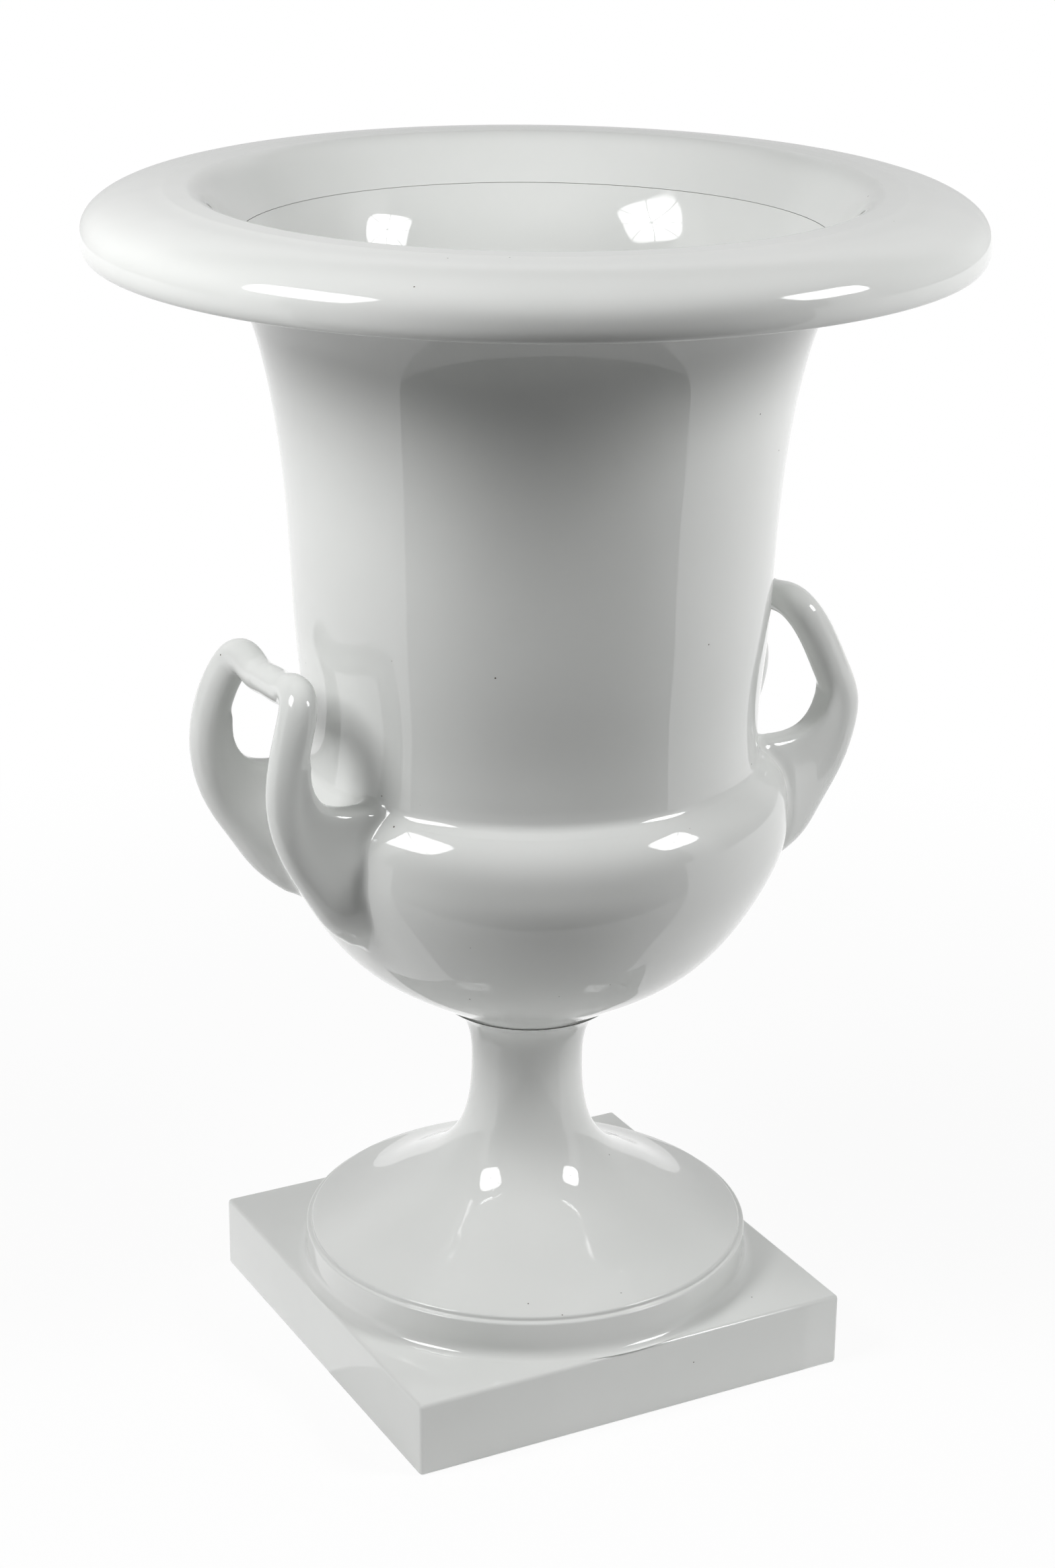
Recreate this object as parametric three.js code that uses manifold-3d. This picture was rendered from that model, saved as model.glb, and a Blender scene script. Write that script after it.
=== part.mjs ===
// Glazed porcelain krater: a footed vase with a rolled lip and two yoke-shaped handles.
// Millimetres, +Z up, standing on Z = 0 with the plinth's sides along X and Y.
import * as THREE from 'three';
import { mergeVertices } from 'three/addons/utils/BufferGeometryUtils.js';
import Module from 'manifold-3d';

const wasm = await Module();
wasm.setup();

// Driving dimensions. Heights inside a piece start at that piece's own underside.

const seat = {
  gap: 0.3,            // room between two pieces of porcelain that touch
  slip: 0.15,          // room between the pieces on the bolt
  seamRadius: 37.05,   // where the bowl stands on the foot
};

const plinth = {
  side: 200, height: 32.7, corner: 3, edgeRound: 1.8,
  wall: 9, plate: 8, opening: 62,
};

const foot = {
  setBack: 4,          // from the plinth's side to the disc's band
  coveHeight: 4.5, coveReach: 3.2, bandHeight: 11, stepIn: 2.4, stepUp: 1.8,
  height: 121.2, waistRadius: 23.9, waistHeight: 92, wall: 7, topPlate: 9,
};

const bowl = {
  height: 111.9, girth: 108, girthHeight: 82, ledgeRadius: 95.2, shoulderTurn: 54, wall: 7.5, floor: 10.5,
};

const neck = {
  height: 213.5, waistIn: 0.8, waistHeight: 20, topRadius: 128, mouthRadius: 117.2, wall: 7.5,
};

const lip = {
  radius: 178.5, crestRadius: 135, crestRise: 19.7, foldTurn: 25, rollDrop: 18.9, edgeDrop: 1.5,
  edgeRound: 1.6, overhang: 8,
};

// Each handle is a yoke: two posts leave the bowl, bow out and lean in again to a bar between them.
// An ear fills the corner between each post and the vase.
const handle = {
  spread: 36,          // from the middle of the yoke to each post's centre line
  postRadius: 7.5, barRadius: 6.8, rootIn: 13.2, rootSlope: 35,
  earInset: 0.7, earRound: 4.5, saddleWidth: 19, saddleDepth: 13,
};

// The yokes were bent by hand, so each post has its own line. Turns are in degrees round the vase,
// rises and drops start at the ledge, bows at the bowl's girth and reaches at the neck's waist.
const rightPost = {
  rootDrop: 50, earHeight: 51.9, bow: 21.2, bowRise: 12.5, lean: 4.8, leanRise: 26,
  reach: 12.4, rise: 57.3, sag: 1.2,
};
const leftFront = {
  rootDrop: 52.5, earHeight: 54.4, bow: 18.6, bowRise: 10.5, lean: 2.2, leanRise: 27.5,
  reach: 22.8, rise: 49.5, sag: 2,
};
const leftBack = {
  rootDrop: 52.5, earHeight: 51.6, bow: 21.2, bowRise: 10.5, lean: 2.2, leanRise: 26,
  reach: 21.4, rise: 48.2, sag: 3.4,
};
const rightYoke = { turn: 0, posts: [rightPost, rightPost] };
const leftYoke = { turn: 180, posts: [leftFront, leftBack] };

const bolt = { radius: 4, clearance: 1, tail: 4, chamfer: 0.8 };
const nut = { wall: 2.5, height: 6.5, lockHeight: 3.9, domeHeight: 6.5, chamfer: 0.8 };
const washer = { radius: 13, thickness: 2 };
const gasket = { radius: 14.5, thickness: 2.5, seatThickness: 0.6, setBack: 1.2, stemGap: 2.4 };

const facets = 44;       // round the vase
const smallFacets = 18;  // round the bolt

// Materials

const porcelain = (color) => new THREE.MeshStandardMaterial({ color, roughness: 0.12, metalness: 0 });
const whiteGlaze = porcelain(0xe6e8e6);
const handleGlaze = porcelain(0xe2e5e3);
const zincSteel = new THREE.MeshStandardMaterial({ color: 0xb9bcc0, roughness: 0.35, metalness: 1 });
const brass = new THREE.MeshStandardMaterial({ color: 0xc2a35c, roughness: 0.3, metalness: 1 });
const greyRubber = new THREE.MeshStandardMaterial({ color: 0x3c3d3e, roughness: 0.85, metalness: 0 });

// Heights and radii that more than one piece uses

const discRadius = plinth.side / 2 - foot.setBack;
const footBottom = plinth.height + seat.gap;
const stemTop = footBottom + foot.height;
const seatGasketBottom = stemTop + seat.slip;
const bowlBottom = seatGasketBottom + gasket.seatThickness + seat.slip;
const floorTop = bowlBottom + bowl.floor;
const ledge = bowlBottom + bowl.height;
const neckBottom = ledge + seat.gap;
const neckTop = neckBottom + neck.height;
const neckWaist = bowl.ledgeRadius - neck.waistIn;
const throat = neckWaist - neck.wall;
const boltHole = bolt.radius + bolt.clearance;

// Solids

const vase = new THREE.Group();
vase.name = 'krater_vase';

function outward(geometry) {
  const solid = geometry.clone();
  solid.deleteAttribute('normal');
  solid.deleteAttribute('uv');
  const merged = mergeVertices(solid, 1e-4);
  const at = merged.attributes.position;
  const corners = merged.index.array;
  const a = new THREE.Vector3();
  const b = new THREE.Vector3();
  const c = new THREE.Vector3();
  const kept = [];
  let volume = 0;
  for (let i = 0; i < corners.length; i += 3) {
    const [p, q, r] = [corners[i], corners[i + 1], corners[i + 2]];
    if (p === q || q === r || r === p) continue;
    kept.push(p, q, r);
    volume += a.fromBufferAttribute(at, p).dot(
      b.fromBufferAttribute(at, q).cross(c.fromBufferAttribute(at, r)));
  }
  if (volume < 0) {
    for (let i = 0; i < kept.length; i += 3) [kept[i], kept[i + 1]] = [kept[i + 1], kept[i]];
  }
  merged.setIndex(kept);
  return merged;
}

function toSolid(geometry) {
  const closed = outward(geometry);
  return new wasm.Manifold(new wasm.Mesh({
    numProp: 3,
    vertProperties: new Float32Array(closed.attributes.position.array),
    triVerts: new Uint32Array(closed.index.array),
  }));
}

function toGeometry(solid) {
  const mesh = solid.getMesh();
  const geometry = new THREE.BufferGeometry();
  geometry.setAttribute('position', new THREE.BufferAttribute(new Float32Array(mesh.vertProperties), 3));
  geometry.setIndex(new THREE.BufferAttribute(new Uint32Array(mesh.triVerts), 1));
  return geometry;
}

function add(name, geometry, material) {
  const closed = outward(geometry);
  closed.computeVertexNormals();
  const mesh = new THREE.Mesh(closed, material);
  mesh.name = name;
  vase.add(mesh);
}

// Outlines are lists of points: radius first, then height

const point = ([r, z]) => new THREE.Vector2(r, z);
const smooth = (points, steps) => new THREE.SplineCurve(points.map(point)).getPoints(steps);

// Part of an ellipse, its angles in degrees
function arc(r, z, across, up, start, end, steps) {
  return Array.from({ length: steps + 1 }, (_, i) => {
    const angle = THREE.MathUtils.degToRad(THREE.MathUtils.lerp(start, end, i / steps));
    return new THREE.Vector2(r + across * Math.cos(angle), z + up * Math.sin(angle));
  });
}

// The same line moved sideways, to its left when distance is positive
function beside(line, distance) {
  return line.map((here, i) => {
    const before = line[Math.max(i - 1, 0)];
    const after = line[Math.min(i + 1, line.length - 1)];
    const along = after.clone().sub(before).normalize();
    return new THREE.Vector2(here.x - along.y * distance, here.y + along.x * distance);
  });
}

// Inner face of a wall: every second point of the outer line, between two heights
function innerFace(line, wall, bottom, top) {
  const thinned = line.filter((_, i) => i % 2 === 0 || i === line.length - 1);
  return beside(thinned, wall).filter((at) => at.y > bottom && at.y < top);
}

function revolve(outline, segments = facets) {
  return new THREE.LatheGeometry([...outline, outline[0]], segments).rotateX(Math.PI / 2);
}

function ring(hole, radius, bottom, height) {
  const top = bottom + height;
  return revolve([[hole, bottom], [radius, bottom], [radius, top], [hole, top]].map(point), smallFacets);
}

// Closed skin over rings of points; outline is an end ring's flat shape, anticlockwise
function loft(rings, outline) {
  const count = outline.length;
  const last = (rings.length - 1) * count;
  const faces = [];
  for (let i = 0; i < rings.length - 1; i++) {
    for (let j = 0; j < count; j++) {
      const [a, b] = [i * count + j, i * count + (j + 1) % count];
      faces.push(a, b, b + count, a, b + count, a + count);
    }
  }
  for (const [p, q, r] of THREE.ShapeUtils.triangulateShape(outline, [])) {
    faces.push(r, q, p, last + p, last + q, last + r);
  }
  return new THREE.BufferGeometry().setFromPoints(rings.flat()).setIndex(faces);
}

// Plinth: square box, open below, with a round opening in its top plate

function roundedSquare(side, corner) {
  const inner = side / 2 - corner;
  const shape = new THREE.Shape();
  shape.moveTo(inner, -side / 2);
  shape.absarc(inner, -inner, corner, -Math.PI / 2, 0);
  shape.absarc(inner, inner, corner, 0, Math.PI / 2);
  shape.absarc(-inner, inner, corner, Math.PI / 2, Math.PI);
  shape.absarc(-inner, -inner, corner, Math.PI, Math.PI * 1.5);
  return shape;
}

function makePlinth() {
  const round = plinth.edgeRound;
  const block = new THREE.ExtrudeGeometry(roundedSquare(plinth.side, plinth.corner), {
    depth: plinth.height - 2 * round, bevelThickness: round, bevelSize: round, bevelOffset: -round,
    bevelSegments: 3, curveSegments: 3,
  }).translate(0, 0, round);
  const below = plinth.height;
  const hollow = new THREE.ExtrudeGeometry(roundedSquare(plinth.side - 2 * plinth.wall, plinth.corner), {
    depth: below + plinth.height - plinth.plate, bevelEnabled: false, curveSegments: 4,
  }).translate(0, 0, -below);
  const opening = new THREE.CylinderGeometry(plinth.opening, plinth.opening, 3 * plinth.height, facets)
    .rotateX(Math.PI / 2);
  add('plinth', toGeometry(toSolid(block).subtract(toSolid(hollow)).subtract(toSolid(opening))), whiteGlaze);
}

// Foot: cove, disc band and step, then the trumpet in to the waist and out to the seat

function makeFoot() {
  const bandBottom = footBottom + foot.coveHeight;
  const bandTop = bandBottom + foot.bandHeight;
  const slopeBottom = bandTop + foot.stepUp;
  const slopeRadius = discRadius - foot.stepIn;
  const waistTop = footBottom + foot.waistHeight;
  const bare = 0.6;
  const cove = arc(discRadius + foot.coveReach, bandBottom, foot.coveReach, foot.coveHeight - bare,
    270, 180, 3);
  const sweep = (share) => THREE.MathUtils.lerp(foot.waistRadius, slopeRadius, share);
  const rise = (share) => THREE.MathUtils.lerp(slopeBottom, waistTop, share);
  const flare = (share) => THREE.MathUtils.lerp(foot.waistRadius, seat.seamRadius, share);
  const climb = (share) => THREE.MathUtils.lerp(waistTop, stemTop, share);
  const trumpet = smooth([
    [slopeRadius, slopeBottom], [sweep(0.758), rise(0.075)], [sweep(0.489), rise(0.215)],
    [sweep(0.247), rise(0.37)], [sweep(0.086), rise(0.55)], [sweep(0.014), rise(0.78)],
    [foot.waistRadius, waistTop], [flare(0.11), climb(0.5)], [flare(0.42), climb(0.79)],
    [seat.seamRadius, stemTop],
  ], 14);
  const hollowTop = stemTop - foot.topPlate;
  const hollow = innerFace(trumpet, foot.wall, slopeBottom - foot.wall, hollowTop).reverse();
  const outline = [
    point([discRadius - foot.wall, footBottom]),
    point([discRadius + foot.coveReach, footBottom]),
    ...cove,
    point([discRadius, bandTop - bare]),
    point([discRadius - bare, bandTop]),
    point([slopeRadius, bandTop]),
    ...trumpet,
    point([boltHole, stemTop]),
    point([boltHole, hollowTop]),
    point([hollow[0].x, hollowTop]),
    ...hollow,
  ];
  add('foot', revolve(outline), whiteGlaze);
}

// Bowl: open cup with a round shoulder that turns in to the ledge for the neck

function bowlSide() {
  const girthAt = bowlBottom + bowl.girthHeight;
  const width = (share) => THREE.MathUtils.lerp(seat.seamRadius, bowl.girth, share);
  const rise = (share) => THREE.MathUtils.lerp(bowlBottom, girthAt, share);
  const side = smooth([
    [seat.seamRadius, bowlBottom], [width(0.208), rise(0.108)], [width(0.543), rise(0.305)],
    [width(0.741), rise(0.5)], [width(0.88), rise(0.7)], [width(0.97), rise(0.875)],
    [bowl.girth, girthAt],
  ], 10);
  const turn = THREE.MathUtils.degToRad(bowl.shoulderTurn);
  const across = (bowl.girth - bowl.ledgeRadius) / (1 - Math.cos(turn));
  const up = (ledge - girthAt) / Math.sin(turn);
  const shoulder = arc(bowl.girth - across, girthAt, across, up, 0, bowl.shoulderTurn, 5);
  return [...side, ...shoulder.slice(1)];
}

function makeBowl() {
  const inside = innerFace(bowlSide(), bowl.wall, floorTop + 1, ledge).reverse();
  const floorRound = 3;
  const outline = [
    point([boltHole, bowlBottom]),
    ...bowlSide(),
    point([throat, ledge]),
    point([throat, inside[0].y]),
    ...inside,
    point([inside[inside.length - 1].x - floorRound, floorTop]),
    point([boltHole, floorTop]),
  ];
  add('bowl', revolve(outline), whiteGlaze);
}

// Neck: straight at the ledge, long flare, then a bell mouth that carries the lip

function neckSide() {
  const rise = (share) => neckBottom + neck.height * share;
  const flare = (share) => THREE.MathUtils.lerp(neckWaist, neck.topRadius, share);
  return smooth([
    [bowl.ledgeRadius, neckBottom],
    [neckWaist + neck.waistIn * 0.3, neckBottom + neck.waistHeight * 0.35],
    [neckWaist, neckBottom + neck.waistHeight],
    [flare(0.068), rise(0.225)], [flare(0.149), rise(0.45)], [flare(0.262), rise(0.64)],
    [flare(0.436), rise(0.79)], [flare(0.585), rise(0.865)], [flare(0.771), rise(0.915)],
    [neck.topRadius, rise(0.945)],
  ], 13);
}

function makeNeck() {
  const side = neckSide();
  const belowMouth = 27;
  const inside = innerFace(side, neck.wall, neckBottom + 1, neckTop - belowMouth);
  const last = inside[inside.length - 1];
  const bell = smooth([
    [last.x, last.y],
    [neck.mouthRadius - neck.wall * 0.87, neckTop - belowMouth / 2],
    [neck.mouthRadius, neckTop],
  ], 3);
  const outline = [...side, ...bell.reverse(), ...inside.reverse().slice(1), point([throat, neckBottom])];
  add('neck', revolve(outline), whiteGlaze);
}

// Lip: folds up out of the mouth to its crest, rolls over to the rim and ends in a tight lower edge

function makeLip() {
  const shoulder = neckSide().pop();
  const mouth = new THREE.Vector2(neck.mouthRadius, neckTop);
  const seam = shoulder.clone().sub(mouth).normalize();
  const lift = new THREE.Vector2(-seam.y, seam.x).multiplyScalar(seat.gap);
  const start = mouth.clone().add(lift);
  const end = shoulder.clone().add(lift);
  const crest = neckTop + lip.crestRise;
  const turned = THREE.MathUtils.degToRad(lip.foldTurn);
  const foldAcross = (lip.crestRadius - start.x) / Math.cos(turned);
  const foldUp = (crest - start.y) / (1 - Math.sin(turned));
  const fold = arc(lip.crestRadius, crest - foldUp, foldAcross, foldUp, 180 - lip.foldTurn, 90, 5);
  const rollAcross = lip.radius - lip.crestRadius;
  const roll = arc(lip.crestRadius, crest - lip.rollDrop, rollAcross, lip.rollDrop, 90, 0, 7);
  const edge = crest - lip.rollDrop - lip.edgeDrop;
  const tuck = arc(lip.radius - lip.edgeRound, edge, lip.edgeRound, lip.edgeRound, 0, -90, 2);
  const inner = lip.radius - lip.edgeRound - lip.overhang;
  const back = (share) => THREE.MathUtils.lerp(inner, end.x, share);
  const down = (share) => THREE.MathUtils.lerp(edge, end.y, share);
  const under = smooth([
    [inner + lip.overhang * 0.6, edge - lip.edgeRound + 0.7], [inner, edge + 2.4],
    [back(0.3), edge + 3.2], [back(0.65), down(0.5) + 2.6], [end.x, end.y],
  ], 6);
  add('lip', revolve([...fold, ...roll.slice(1), ...tuck, ...under], 48), whiteGlaze);
}

// Everything inside the bowl and neck, grown by a gap, to cut the handles' roots to the vase

function vaseSkin(gap) {
  const line = beside([...bowlSide(), ...neckSide().slice(1)], -gap);
  const bottom = point([0, line[0].y]);
  const top = point([0, line[line.length - 1].y]);
  return toSolid(revolve([bottom, ...line, top]));
}

// One post's centre line seen from the side, from inside the bowl up to its widest point
function postLine(post) {
  const slope = THREE.MathUtils.degToRad(handle.rootSlope);
  const root = point([bowl.girth - handle.rootIn, ledge - post.rootDrop]);
  const widest = point([bowl.girth + post.bow, ledge + post.bowRise]);
  const buried = 4.5 * handle.postRadius;
  const out = (share) => THREE.MathUtils.lerp(root.x, widest.x, share);
  const up = (share) => THREE.MathUtils.lerp(root.y, widest.y, share);
  return [
    [root.x - buried * Math.cos(slope), root.y - buried * Math.sin(slope)],
    [root.x, root.y], [out(0.27), up(0.13)], [out(0.53), up(0.34)], [out(0.73), up(0.51)],
    [out(0.97), up(0.84)], [widest.x, widest.y],
  ];
}

// A post and its half of the bar, up to the middle of the yoke
function halfYoke(post) {
  const { spread } = handle;
  const lean = bowl.girth + post.bow - post.lean;
  const leanAt = ledge + post.leanRise;
  const bar = neckWaist + post.reach;
  const barTop = ledge + post.rise;
  return [
    ...postLine(post).map(([x, z]) => [x, spread, z]),
    [lean, spread, leanAt],
    [(lean + bar) / 2 + 0.6, spread * 0.99, (leanAt + barTop) / 2 + 1],
    [bar + 1.6, spread * 0.91, barTop - 2],
    [bar + 0.5, spread * 0.75, barTop],
    [bar, spread * 0.47, barTop - post.sag * 0.85],
  ];
}

function yokePath({ posts: [first, second] }) {
  const bar = neckWaist + (first.reach + second.reach) / 2;
  const middle = ledge + (first.rise - first.sag + second.rise - second.sag) / 2;
  const points = [
    ...halfYoke(first),
    [bar, 0, middle],
    ...halfYoke(second).reverse().map(([x, y, z]) => [x, -y, z]),
  ].map(([x, y, z]) => new THREE.Vector3(x, y, z));
  return new THREE.CatmullRomCurve3(points, false, 'centripetal');
}

// Round section swept along the yoke, a little thicker in the posts than in the bar
function yokeBar(yoke) {
  const steps = 46;
  const sides = 12;
  const path = yokePath(yoke);
  const frames = path.computeFrenetFrames(steps, false);
  const circle = arc(0, 0, 1, 1, 0, 360, sides).slice(1);
  const rings = Array.from({ length: steps + 1 }, (_, i) => {
    const centre = path.getPointAt(i / steps);
    const share = THREE.MathUtils.smoothstep(Math.abs(centre.y), handle.spread * 0.4, handle.spread);
    const radius = THREE.MathUtils.lerp(handle.barRadius, handle.postRadius, share);
    return circle.map((at) => centre.clone()
      .addScaledVector(frames.normals[i], radius * at.x)
      .addScaledVector(frames.binormals[i], radius * at.y));
  });
  return loft(rings, circle);
}

// Ear: from the post's centre line in to the vase, with a round-edged hollow saddle on top
function earOutline(post, drop) {
  const line = postLine(post);
  const [widest, widestAt] = line[line.length - 1];
  const inner = widest - handle.postRadius;
  const { saddleWidth: width, saddleDepth: depth } = handle;
  const saddle = ledge - post.rootDrop + post.earHeight - drop;
  const inPost = Math.max(widestAt, saddle + depth) + handle.earRound;
  return [
    ...smooth(line, 12),
    point([widest, inPost]),
    ...smooth([
      [inner, saddle + depth * 0.9], [inner - width * 0.24, saddle + depth * 0.42],
      [inner - width * 0.58, saddle + depth * 0.11], [inner - width, saddle], [throat, saddle + 2],
    ], 7),
    point([line[0][0], saddle]),
  ];
}

function ear(post, y) {
  const half = handle.postRadius - handle.earInset;
  const round = handle.earRound;
  const corner = arc(0, 0, round, round, 0, 90, 3);
  const stations = [
    ...corner.map((at) => [half - round + at.x, round - at.y]),
    ...corner.reverse().map((at) => [round - half - at.x, round - at.y]),
  ];
  const rings = stations.map(([across, drop]) => earOutline(post, drop)
    .map((at) => new THREE.Vector3(at.x, y + across, at.y)));
  return loft(rings, earOutline(post, round));
}

function makeHandle(name, yoke) {
  const turn = THREE.MathUtils.degToRad(yoke.turn);
  const ears = yoke.posts.map((post, i) => ear(post, handle.spread * (i === 0 ? 1 : -1)));
  const solid = [yokeBar(yoke), ...ears]
    .map((piece) => toSolid(piece.rotateZ(turn)))
    .reduce((whole, piece) => whole.add(piece));
  add(name, toGeometry(solid.subtract(vaseSkin(seat.gap))), handleGlaze);
}

// Clamp bolt through the stem: dome nut on the bowl's floor, clamp nut and lock nut below the plate

function hexBlock(bottom, height) {
  const radius = nutFlats / Math.sqrt(3);
  const hex = new THREE.CylinderGeometry(radius, radius, height, 6)
    .rotateX(Math.PI / 2).translate(0, 0, bottom + height / 2);
  const flat = nutFlats / 2;
  const turned = revolve([
    [0, bottom], [flat, bottom], [radius, bottom + nut.chamfer],
    [radius, bottom + height - nut.chamfer], [flat, bottom + height], [0, bottom + height],
  ].map(point), smallFacets);
  return toSolid(hex).intersect(toSolid(turned));
}

function bore(bottom, top) {
  const radius = bolt.radius + seat.slip;
  return toSolid(new THREE.CylinderGeometry(radius, radius, top - bottom, smallFacets)
    .rotateX(Math.PI / 2).translate(0, 0, (top + bottom) / 2));
}

const nutFlats = 2 * (bolt.radius + nut.wall);

function makeHardware() {
  const plateBottom = stemTop - foot.topPlate;
  const hole = bolt.radius + seat.slip;
  const lowRadius = foot.waistRadius - foot.wall - gasket.stemGap;
  const upperGasket = floorTop + seat.slip;
  const upperWasher = upperGasket + gasket.thickness + seat.slip;
  const domeNut = upperWasher + washer.thickness + seat.slip;
  const lowerGasket = plateBottom - seat.slip - gasket.thickness;
  const lowerWasher = lowerGasket - seat.slip - washer.thickness;
  const clampNut = lowerWasher - seat.slip - nut.height;
  const lockNut = clampNut - seat.slip - nut.lockHeight;

  add('seat_gasket', ring(boltHole, seat.seamRadius - gasket.setBack, seatGasketBottom,
    gasket.seatThickness), greyRubber);
  add('upper_gasket', ring(hole, gasket.radius, upperGasket, gasket.thickness), greyRubber);
  add('upper_washer', ring(hole, washer.radius, upperWasher, washer.thickness), brass);
  add('lower_gasket', ring(hole, lowRadius, lowerGasket, gasket.thickness), greyRubber);
  add('lower_washer', ring(hole, lowRadius, lowerWasher, washer.thickness), zincSteel);

  const domeBase = domeNut + nut.height;
  const domeRadius = nutFlats / 2 - nut.chamfer / 2;
  const rodTop = domeBase + nut.domeHeight * 0.4;
  const dome = revolve([
    point([0, domeBase - nut.chamfer]), point([domeRadius, domeBase - nut.chamfer]),
    ...arc(0, domeBase, domeRadius, nut.domeHeight, 0, 90, 4),
  ], smallFacets);
  const capped = hexBlock(domeNut, nut.height).add(toSolid(dome))
    .subtract(bore(domeNut - 1, rodTop + seat.gap));
  add('dome_nut', toGeometry(capped), brass);
  for (const [name, bottom, height] of [
    ['clamp_nut', clampNut, nut.height], ['lock_nut', lockNut, nut.lockHeight],
  ]) {
    const drilled = hexBlock(bottom, height).subtract(bore(bottom - 1, bottom + height + 1));
    add(name, toGeometry(drilled), zincSteel);
  }

  const rodBottom = lockNut - bolt.tail;
  const tip = bolt.radius - bolt.chamfer;
  add('tie_rod', revolve([
    [0, rodBottom], [tip, rodBottom], [bolt.radius, rodBottom + bolt.chamfer],
    [bolt.radius, rodTop - bolt.chamfer], [tip, rodTop], [0, rodTop],
  ].map(point), smallFacets), zincSteel);
}

makePlinth();
makeFoot();
makeBowl();
makeNeck();
makeLip();
makeHandle('handle_right', rightYoke);
makeHandle('handle_left', leftYoke);
makeHardware();

export default vase;
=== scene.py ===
import math

import bpy
import numpy as np
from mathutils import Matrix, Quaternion, Vector


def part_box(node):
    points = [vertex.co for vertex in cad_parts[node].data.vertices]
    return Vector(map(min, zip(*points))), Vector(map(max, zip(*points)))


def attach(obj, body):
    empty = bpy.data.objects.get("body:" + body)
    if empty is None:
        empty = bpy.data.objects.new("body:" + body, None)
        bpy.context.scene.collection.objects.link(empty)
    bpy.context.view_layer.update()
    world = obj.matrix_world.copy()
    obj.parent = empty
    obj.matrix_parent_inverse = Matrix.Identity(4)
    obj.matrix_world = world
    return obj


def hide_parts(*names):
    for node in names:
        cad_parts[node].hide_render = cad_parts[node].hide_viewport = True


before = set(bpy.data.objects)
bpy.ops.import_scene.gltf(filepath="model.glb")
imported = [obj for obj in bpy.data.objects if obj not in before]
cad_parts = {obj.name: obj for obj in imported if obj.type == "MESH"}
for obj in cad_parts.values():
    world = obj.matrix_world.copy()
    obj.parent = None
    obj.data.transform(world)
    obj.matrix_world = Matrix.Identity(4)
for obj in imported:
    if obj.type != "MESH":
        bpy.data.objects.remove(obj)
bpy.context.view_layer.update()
print("frame loaded:", len(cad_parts), "nodes")

# Camera, at the photograph's angle

camera = {
    "place": (-0.5898, -1.1110, 0.7185), "forward": (0.43880, 0.82811, -0.34885),
    "roll": 0.01028, "lens": 73.71, "filmHeight": 36.0,
}


def addCamera():
    turn = Vector(camera["forward"]).to_track_quat("-Z", "Y") @ Quaternion((0, 0, 1), camera["roll"])
    bpy.ops.object.camera_add(location=camera["place"], rotation=turn.to_euler())
    made = bpy.context.object
    made.name = "camera"
    made.data.lens = camera["lens"]
    made.data.sensor_fit = "VERTICAL"
    made.data.sensor_height = camera["filmHeight"]
    bpy.context.scene.camera = made


addCamera()
print("camera set")

# Lines that more than one piece follows, in millimetres: radius first, then height


def curveThrough(points, steps):
    # a smooth line through all the points, its bend continuous, evenly sampled
    knots = np.array(points, float)
    spans = np.linalg.norm(np.diff(knots, axis=0), axis=1)
    at = np.concatenate([[0.0], np.cumsum(spans)])
    count = len(knots)
    grid = np.eye(count)
    right = np.zeros_like(knots)
    for i in range(1, count - 1):
        before, after = spans[i - 1], spans[i]
        grid[i, i - 1:i + 2] = before, 2 * (before + after), after
        right[i] = 6 * ((knots[i + 1] - knots[i]) / after - (knots[i] - knots[i - 1]) / before)
    bends = np.linalg.solve(grid, right)
    line = []
    for where in np.linspace(0, at[-1], steps + 1):
        i = min(int(np.searchsorted(at, where, side="right")) - 1, count - 2)
        run = spans[i]
        a, b = (at[i + 1] - where) / run, (where - at[i]) / run
        line.append(a * knots[i] + b * knots[i + 1]
                    + ((a ** 3 - a) * bends[i] + (b ** 3 - b) * bends[i + 1]) * run ** 2 / 6)
    return line


def arcLine(centre, across, up, start, end, steps):
    turns = np.radians(np.linspace(start, end, steps + 1))
    return [np.array((centre[0] + across * math.cos(t), centre[1] + up * math.sin(t))) for t in turns]


def beside(line, distance):
    # the same line moved to its left
    points = np.array(line)
    along = np.gradient(points, axis=0)
    along /= np.linalg.norm(along, axis=1)[:, None]
    return list(points + distance * np.stack([-along[:, 1], along[:, 0]], axis=1))


def softened(corners, radius, steps=5):
    # a line of straight runs whose corners are rounded
    pts = [np.array(c, float) for c in corners]
    line = [pts[0]]
    for before, corner, after in zip(pts, pts[1:], pts[2:]):
        back, onward = before - corner, after - corner
        backLength, onwardLength = np.linalg.norm(back), np.linalg.norm(onward)
        reach = min(radius, backLength * 0.45, onwardLength * 0.45)
        start, end = corner + back / backLength * reach, corner + onward / onwardLength * reach
        for t in np.linspace(0, 1, steps + 1):
            line.append((1 - t) ** 2 * start + 2 * t * (1 - t) * corner + t ** 2 * end)
    line.append(pts[-1])
    return line


def between(low, high, share):
    return low + (high - low) * share


def shared(start, end, shares):
    # the points at these shares of the way out and the way up
    return [(between(start[0], end[0], out), between(start[1], end[1], up)) for out, up in shares]


def quarterRound(start, end, power, steps):
    # leaves the start level and arrives at the end upright; a higher power makes it fuller
    turns = np.linspace(0, math.pi / 2, steps + 1)[1:]
    return [(between(start[0], end[0], math.sin(t) ** (2 / power)),
             between(end[1], start[1], max(math.cos(t), 0) ** (2 / power))) for t in turns]


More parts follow.
